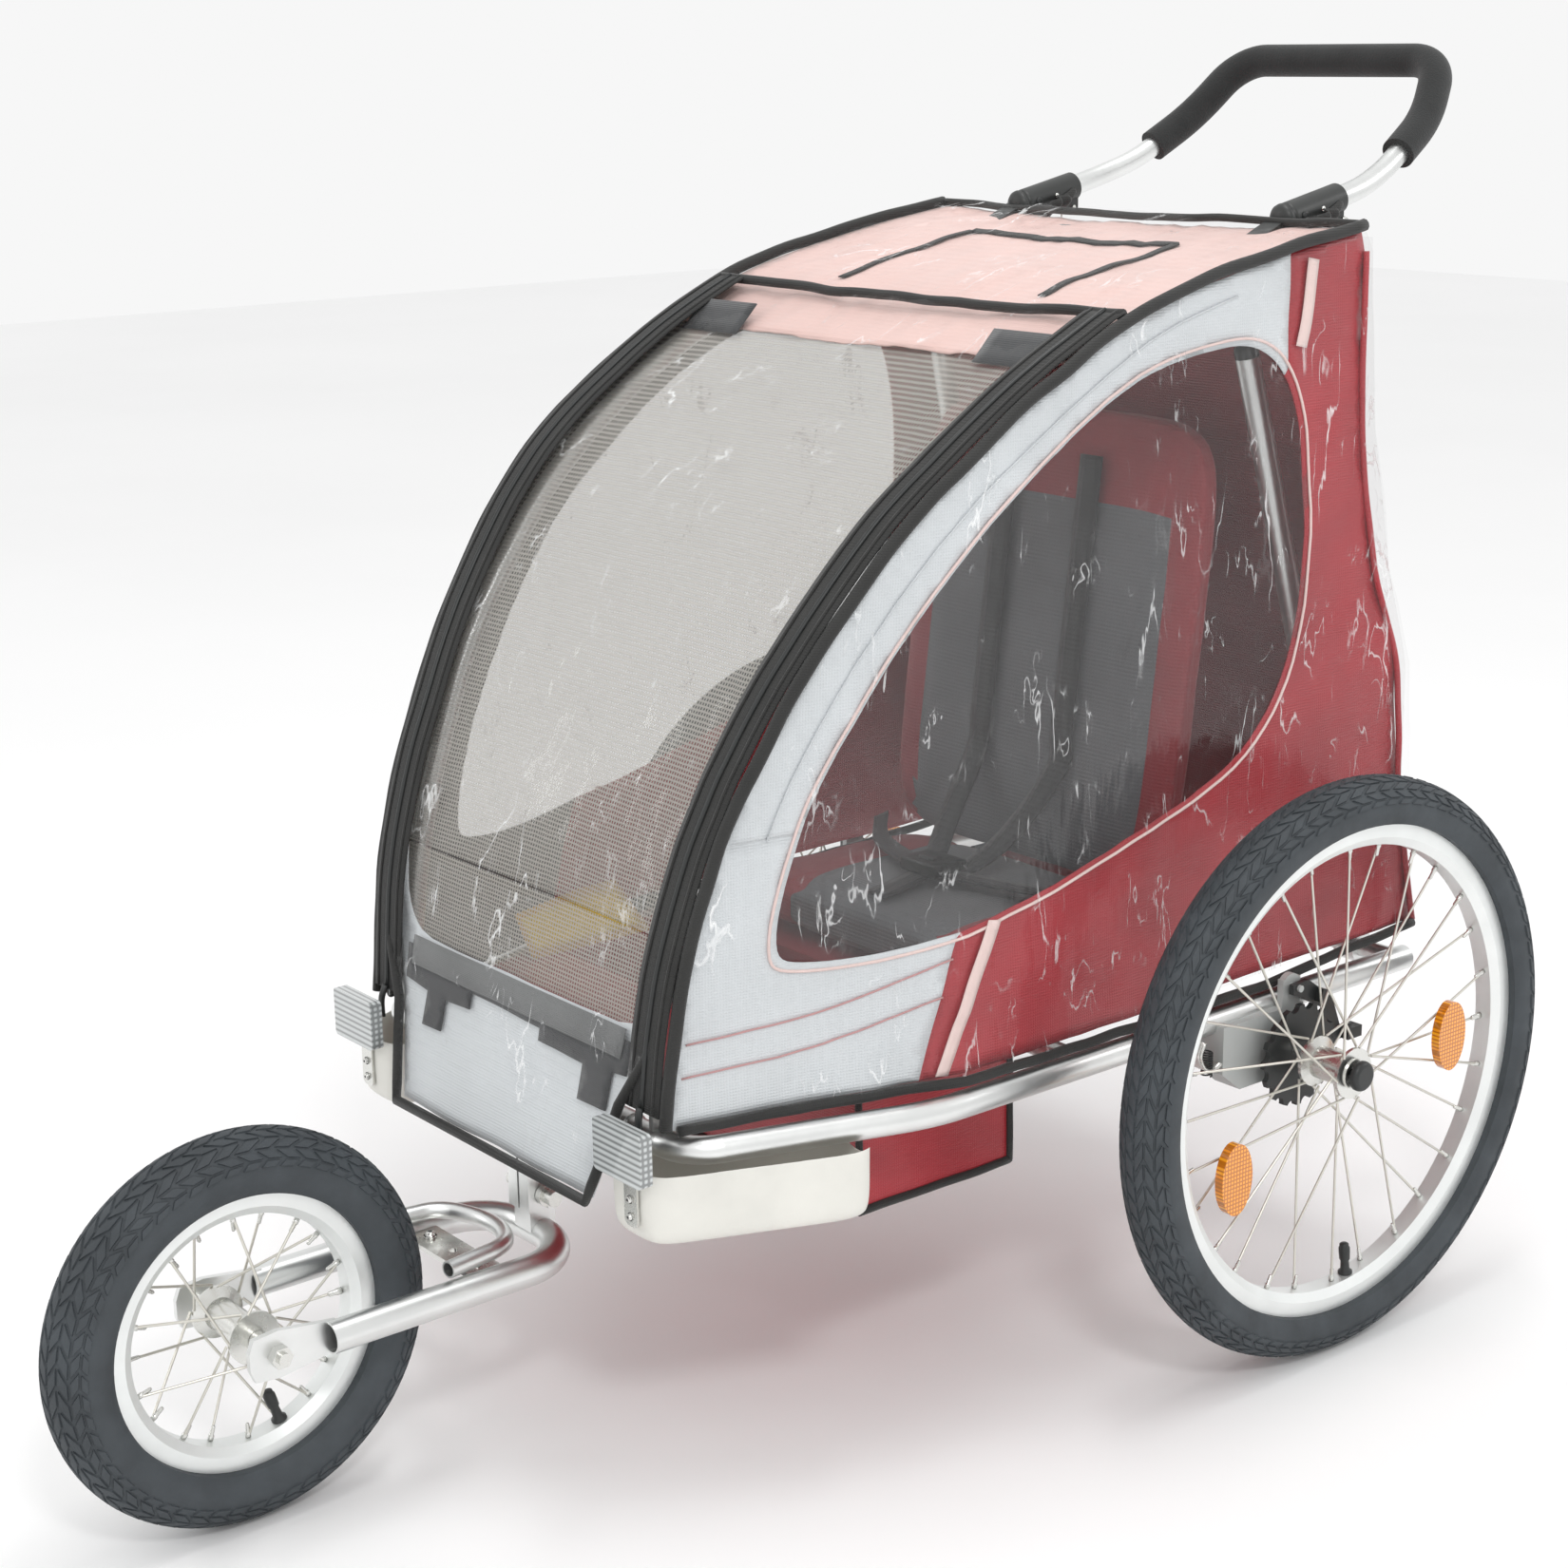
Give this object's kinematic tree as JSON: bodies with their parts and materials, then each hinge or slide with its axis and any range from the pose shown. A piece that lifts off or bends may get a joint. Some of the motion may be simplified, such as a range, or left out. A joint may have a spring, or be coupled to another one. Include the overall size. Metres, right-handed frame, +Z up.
{
  "type": "child bicycle trailer",
  "caption": "Child bicycle trailer with a folding fabric cabin, spoked rear wheels, a removable jogger wheel on a fork arm and a push handle",
  "frame": {"origin": "on the ground, under the middle of the trailer's bounding box", "axes": "+Z up, the front (jogger wheel) faces -Y, +X is the trailer's own left"},
  "size_m": [0.754, 1.386, 1.077],
  "materials": {
    "tyre": "block tread, matt",
    "mesh": "woven screen",
    "clear_film": "clear film",
    "pink_cloth": "coated cloth",
    "red_cloth": "coated cloth",
    "grey_cloth": "coated cloth",
    "foam": "foam",
    "cream_plastic": "moulded",
    "clear_reflector": "prismatic lens",
    "amber_reflector": "prismatic lens",
    "black_plastic": "moulded",
    "bright_steel": "zinc plated",
    "grey_casting": "painted grey",
    "rim_aluminium": "anodised",
    "tube_aluminium": "satin"
  },
  "bodies": {
    "chassis": {"axle_brackets": "grey_casting", "cabin_floor": "red_cloth", "corner_bumpers": "cream_plastic", "front_cross_tube": "tube_aluminium", "front_lower_flap": "grey_cloth", "front_reflectors": "clear_reflector", "hitch_receiver": "tube_aluminium", "hoop_pivot_brackets": "tube_aluminium", "left_side_panel": "grey_cloth", "rain_cover": "clear_film", "rear_axle_tube": "tube_aluminium", "rear_cross_tube": "tube_aluminium", "rear_panel": "red_cloth", "reflector_brackets": "bright_steel", "right_side_panel": "grey_cloth", "seat_back": "red_cloth", "seat_cross_tube": "tube_aluminium", "seat_cushion": "red_cloth", "side_rails": "tube_aluminium", "side_windows": "clear_film", "wheel_axles": "bright_steel"},
    "canopy_frame": {"left_cabin_hoop": "tube_aluminium", "right_cabin_hoop": "tube_aluminium", "roof_cross_tubes": "tube_aluminium", "handle_sleeves": "black_plastic", "roof_panel": "pink_cloth", "front_screen": "mesh"},
    "uprights": {"left_upright": "tube_aluminium", "right_upright": "tube_aluminium", "upright_caps": "black_plastic"},
    "push_handle": {"handlebar": "tube_aluminium", "handle_grip": "foam"},
    "left_pin": {"left_hitch_pin": "bright_steel"},
    "right_pin": {"right_hitch_pin": "bright_steel"},
    "jogger_arm": {"jogger_fork": "tube_aluminium", "fork_arch": "tube_aluminium", "fork_brace": "bright_steel", "fork_post": "tube_aluminium", "fork_skewer": "bright_steel", "front_axle": "bright_steel"},
    "front_wheel": {"front_tyre": "tyre", "front_rim": "rim_aluminium", "front_hub": "bright_steel", "front_spokes": "bright_steel"},
    "left_wheel": {"left_tyre": "tyre", "left_rim": "rim_aluminium", "left_hub": "bright_steel", "left_spokes": "bright_steel", "left_brake_ratchet": "black_plastic", "left_wheel_reflectors": "amber_reflector"},
    "right_wheel": {"right_tyre": "tyre", "right_rim": "rim_aluminium", "right_hub": "bright_steel", "right_spokes": "bright_steel", "right_brake_ratchet": "black_plastic", "right_wheel_reflectors": "amber_reflector"},
    "left_button": {"left_release_button": "black_plastic"},
    "right_button": {"right_release_button": "black_plastic"},
    "left_brake": {"left_brake_lever": "black_plastic"},
    "right_brake": {"right_brake_lever": "black_plastic"}
  },
  "joints": [
    {"name": "frame_fold", "type": "hinge", "parent": "chassis", "child": "canopy_frame", "pos_m": [0, -0.263, 0.312], "axis": [1, 0, 0], "range_deg": [-41, 0], "deforming": ["front_screen", "roof_panel", "rear_panel", "left_side_panel", "right_side_panel", "side_windows", "rain_cover", "seat_back", "front_lower_flap"]},
    {"name": "upright_fold", "type": "hinge", "parent": "chassis", "child": "uprights", "pos_m": [0, 0.48, 0.29], "axis": [1, 0, 0], "range_deg": [0, 66]},
    {"name": "handle_pull", "type": "slide", "parent": "canopy_frame", "child": "push_handle", "axis": [0, 0.9789, 0.2045], "range_m": [0, 0.065]},
    {"name": "left_pin_pull", "type": "slide", "parent": "canopy_frame", "child": "left_pin", "axis": [1, 0, 0], "range_m": [0, 0.025]},
    {"name": "right_pin_pull", "type": "slide", "parent": "canopy_frame", "child": "right_pin", "axis": [-1, 0, 0], "range_m": [0, 0.025]},
    {"name": "jogger_arm_slide", "type": "slide", "parent": "chassis", "child": "jogger_arm", "axis": [0, 0, -1], "range_m": [0, 0.092]},
    {"name": "front_wheel_spin", "type": "hinge", "parent": "jogger_arm", "child": "front_wheel", "pos_m": [0, -0.537, 0.156], "axis": [1, 0, 0], "continuous": true},
    {"name": "left_wheel_spin", "type": "hinge", "parent": "chassis", "child": "left_wheel", "pos_m": [0.348, 0.312, 0.25], "axis": [1, 0, 0], "continuous": true},
    {"name": "right_wheel_spin", "type": "hinge", "parent": "chassis", "child": "right_wheel", "pos_m": [-0.348, 0.312, 0.25], "axis": [1, 0, 0], "continuous": true},
    {"name": "left_button_press", "type": "slide", "parent": "chassis", "child": "left_button", "axis": [-1, 0, 0], "range_m": [0, 0.004], "stiffness_N_per_m": 800},
    {"name": "right_button_press", "type": "slide", "parent": "chassis", "child": "right_button", "axis": [1, 0, 0], "range_m": [0, 0.004], "stiffness_N_per_m": 800},
    {"name": "left_brake_press", "type": "hinge", "parent": "chassis", "child": "left_brake", "pos_m": [0.295, 0.318, 0.306], "axis": [1, 0, 0], "range_deg": [-16, 0]},
    {"name": "right_brake_press", "type": "hinge", "parent": "chassis", "child": "right_brake", "pos_m": [-0.295, 0.318, 0.306], "axis": [1, 0, 0], "range_deg": [-16, 0]}
  ],
  "couplings": [
    {"joint": "upright_fold", "follows": "frame_fold", "ratio": -1.6}
  ]
}
